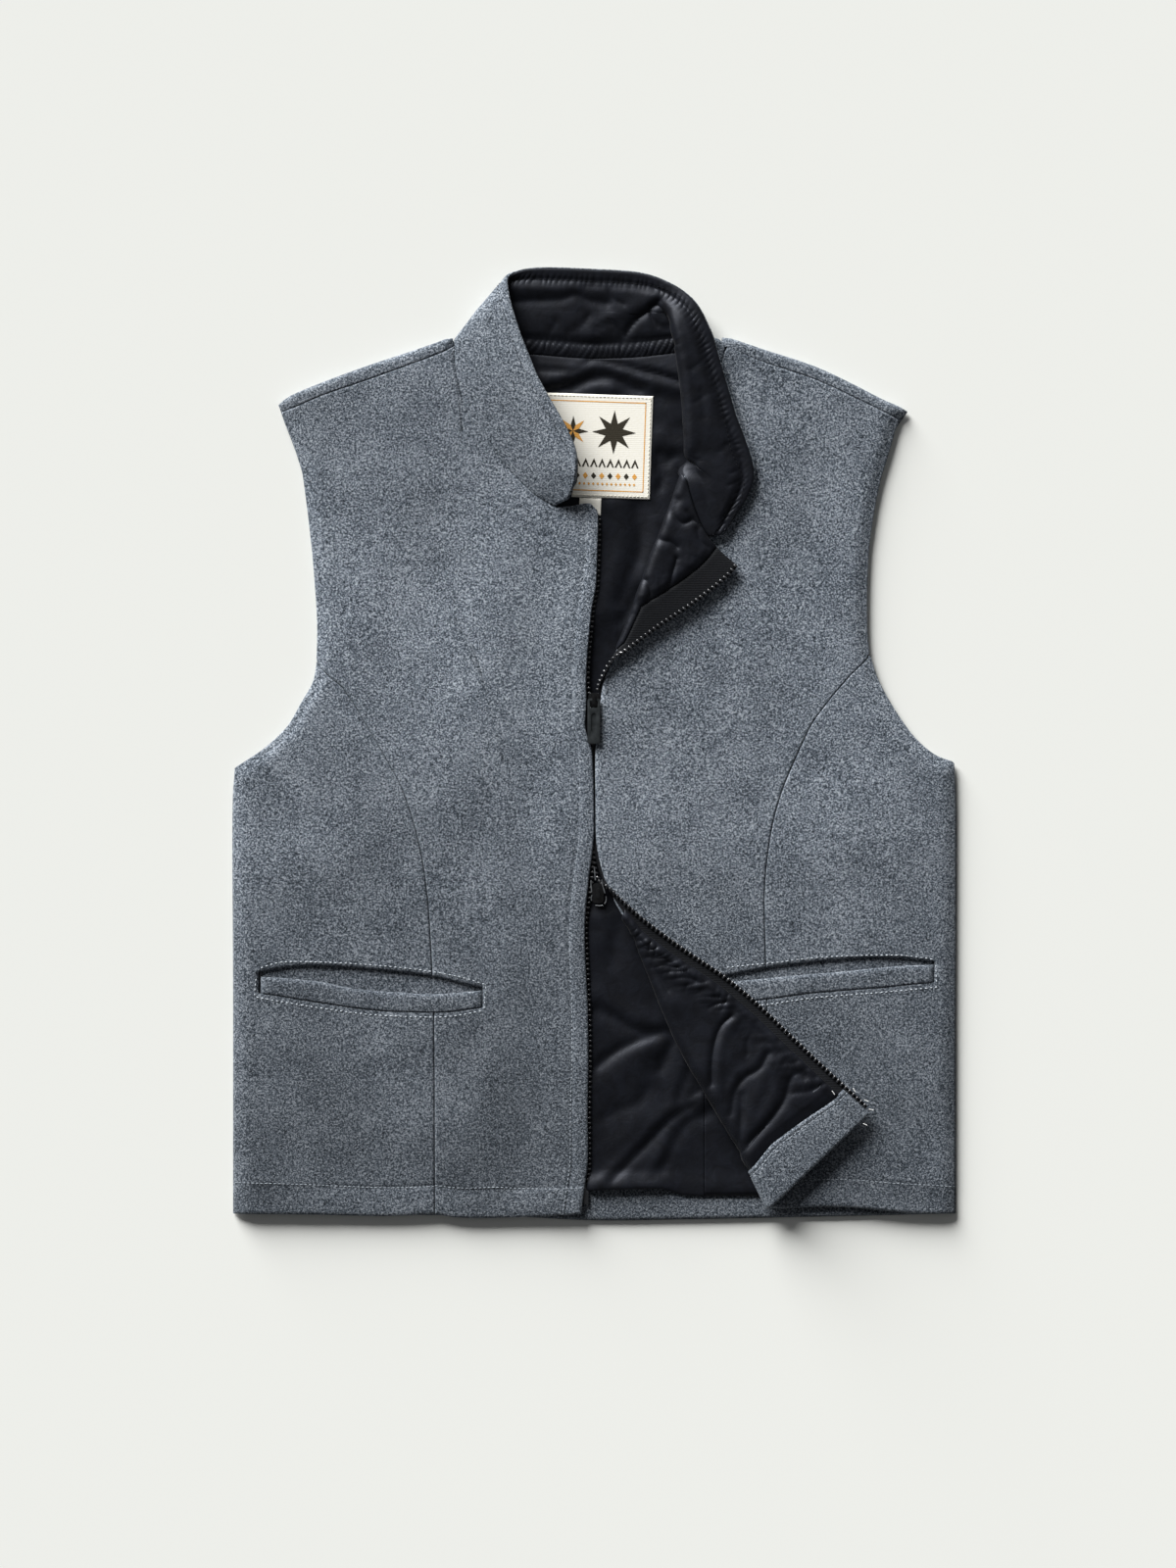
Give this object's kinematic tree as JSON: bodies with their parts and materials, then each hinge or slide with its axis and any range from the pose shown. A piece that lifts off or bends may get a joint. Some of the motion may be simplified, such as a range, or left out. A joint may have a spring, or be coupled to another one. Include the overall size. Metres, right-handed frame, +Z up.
{
  "type": "western vest",
  "caption": "Sleeveless wool vest laid flat, stand collar, zip front partly open with lapel and hem flap turned out, welt pockets and satin lining.",
  "frame": {"origin": "middle of the bounding box on the surface that the vest lies on", "axes": "+X towards the wearer's left, +Y from the hem to the collar, +Z up from the surface, out of the front"},
  "size_m": [0.4947, 0.6511, 0.0311],
  "materials": {
    "wool": "heathered blue-grey felted wool twill",
    "satin": "black satin lining, soft sheen",
    "zip_tape": "matte black woven tape",
    "zip_teeth": "moulded black plastic",
    "slider": "black lacquered die-cast metal",
    "pull": "gunmetal satin",
    "label": "cream woven damask"
  },
  "bodies": {
    "vest": {"back_panel": "wool", "back_lining_centre": "satin", "back_lining_right": "satin", "back_lining_left": "satin", "back_turn_up": "wool", "front_right_centre": "wool", "front_right_side": "wool", "front_left_centre": "wool", "front_left_side": "wool", "lapel_lining": "satin", "flap_lining": "satin", "front_left_turn_up": "wool", "zip_tape_left": "zip_tape", "zip_teeth_left": "zip_teeth", "zip_teeth_right": "zip_teeth", "zip_tape_right": "zip_tape", "zip_pin": "zip_teeth", "collar_outer": "wool", "collar_lining": "satin", "pocket_welt_right": "wool", "pocket_facing_right": "wool", "pocket_welt_left": "wool", "pocket_facing_left": "wool", "neck_label": "label", "size_tab": "label", "zip_slider_top": "slider", "zip_slider_low": "slider"},
    "pull": {"zip_pull_top": "pull"}
  },
  "joints": [
    {"name": "zip_pull_hinge", "type": "hinge", "parent": "vest", "child": "pull", "pos_m": [-0.00045, 0.03, 0.0104], "axis": [-1, 0, 0], "range_deg": [0, 165]}
  ]
}
